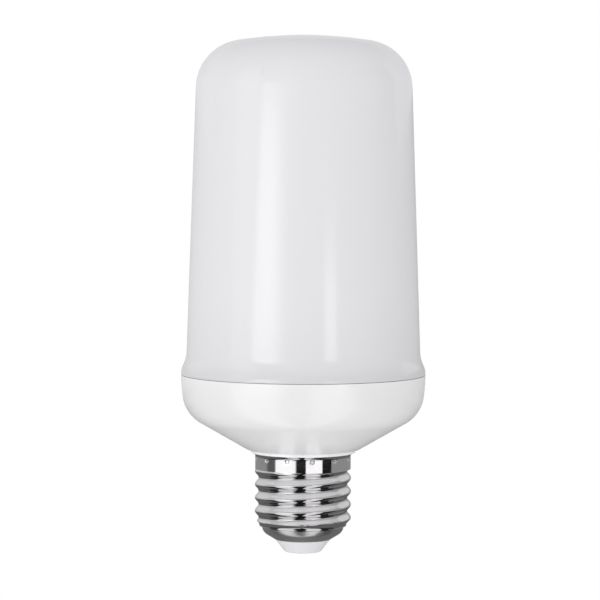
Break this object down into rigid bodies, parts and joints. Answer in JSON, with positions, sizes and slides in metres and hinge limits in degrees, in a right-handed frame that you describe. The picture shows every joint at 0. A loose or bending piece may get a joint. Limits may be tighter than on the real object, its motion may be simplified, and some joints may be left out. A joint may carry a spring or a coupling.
{
  "type": "flame effect led bulb",
  "caption": "Tall opal lamp bulb with a flared lip over a shallow coned housing, a rolled screw cap, and a column of diode rows inside that flickers like a flame.",
  "frame": {"origin": "centre of the flat end face of the cap's centre contact, the lowest point of the lamp standing cap down", "axes": "+Z along the lamp's axis from the cap up to the diffuser's crown; -Y is the front seen in the picture; +X is the viewer's right"},
  "size_m": [0.0662, 0.0662, 0.1401],
  "materials": {
    "opal_diffuser": "satin opal, milky white",
    "white_housing": "semi-gloss white",
    "nickel_shell": "bright nickel plate on thin rolled sheet",
    "insulator": "smooth white",
    "contact_brass": "plain",
    "former_plastic": "matt white",
    "flex_film": "matt white film",
    "diode": "amber resin in a white case",
    "connector_plastic": "matt cream",
    "screw_steel": "zinc plated",
    "board_green": "green solder mask",
    "board_cream": "bare laminate",
    "chip_black": "moulded black",
    "sensor_case": "moulded dark grey",
    "header_black": "black block with tinned pins",
    "capacitor_sleeve": "dark shrink sleeve",
    "ferrite": "matt dark grey",
    "winding_tape": "yellow tape",
    "resistor_body": "matt green coat",
    "lead_wire": "tinned wire"
  },
  "bodies": {
    "root": {"diffuser": "opal_diffuser", "base_housing": "white_housing", "screw_shell": "nickel_shell", "cap_insulator": "insulator", "centre_contact": "contact_brass", "led_former": "former_plastic", "flex_board": "flex_film", "led_row_1": "diode", "led_row_2": "diode", "led_row_3": "diode", "led_row_4": "diode", "led_row_5": "diode", "led_row_6": "diode", "led_row_7": "diode", "led_row_8": "diode", "flex_connector": "connector_plastic", "former_screws": "screw_steel", "control_board": "board_green", "control_chip": "chip_black", "tilt_sensor": "sensor_case", "driver_board": "board_cream", "pin_header": "header_black", "input_capacitor": "capacitor_sleeve", "output_capacitor": "capacitor_sleeve", "transformer_core": "ferrite", "transformer_coil": "winding_tape", "bridge_rectifier": "chip_black", "driver_chip": "chip_black", "fuse_resistor": "resistor_body", "live_lead": "lead_wire", "neutral_lead": "lead_wire"}
  },
  "joints": []
}
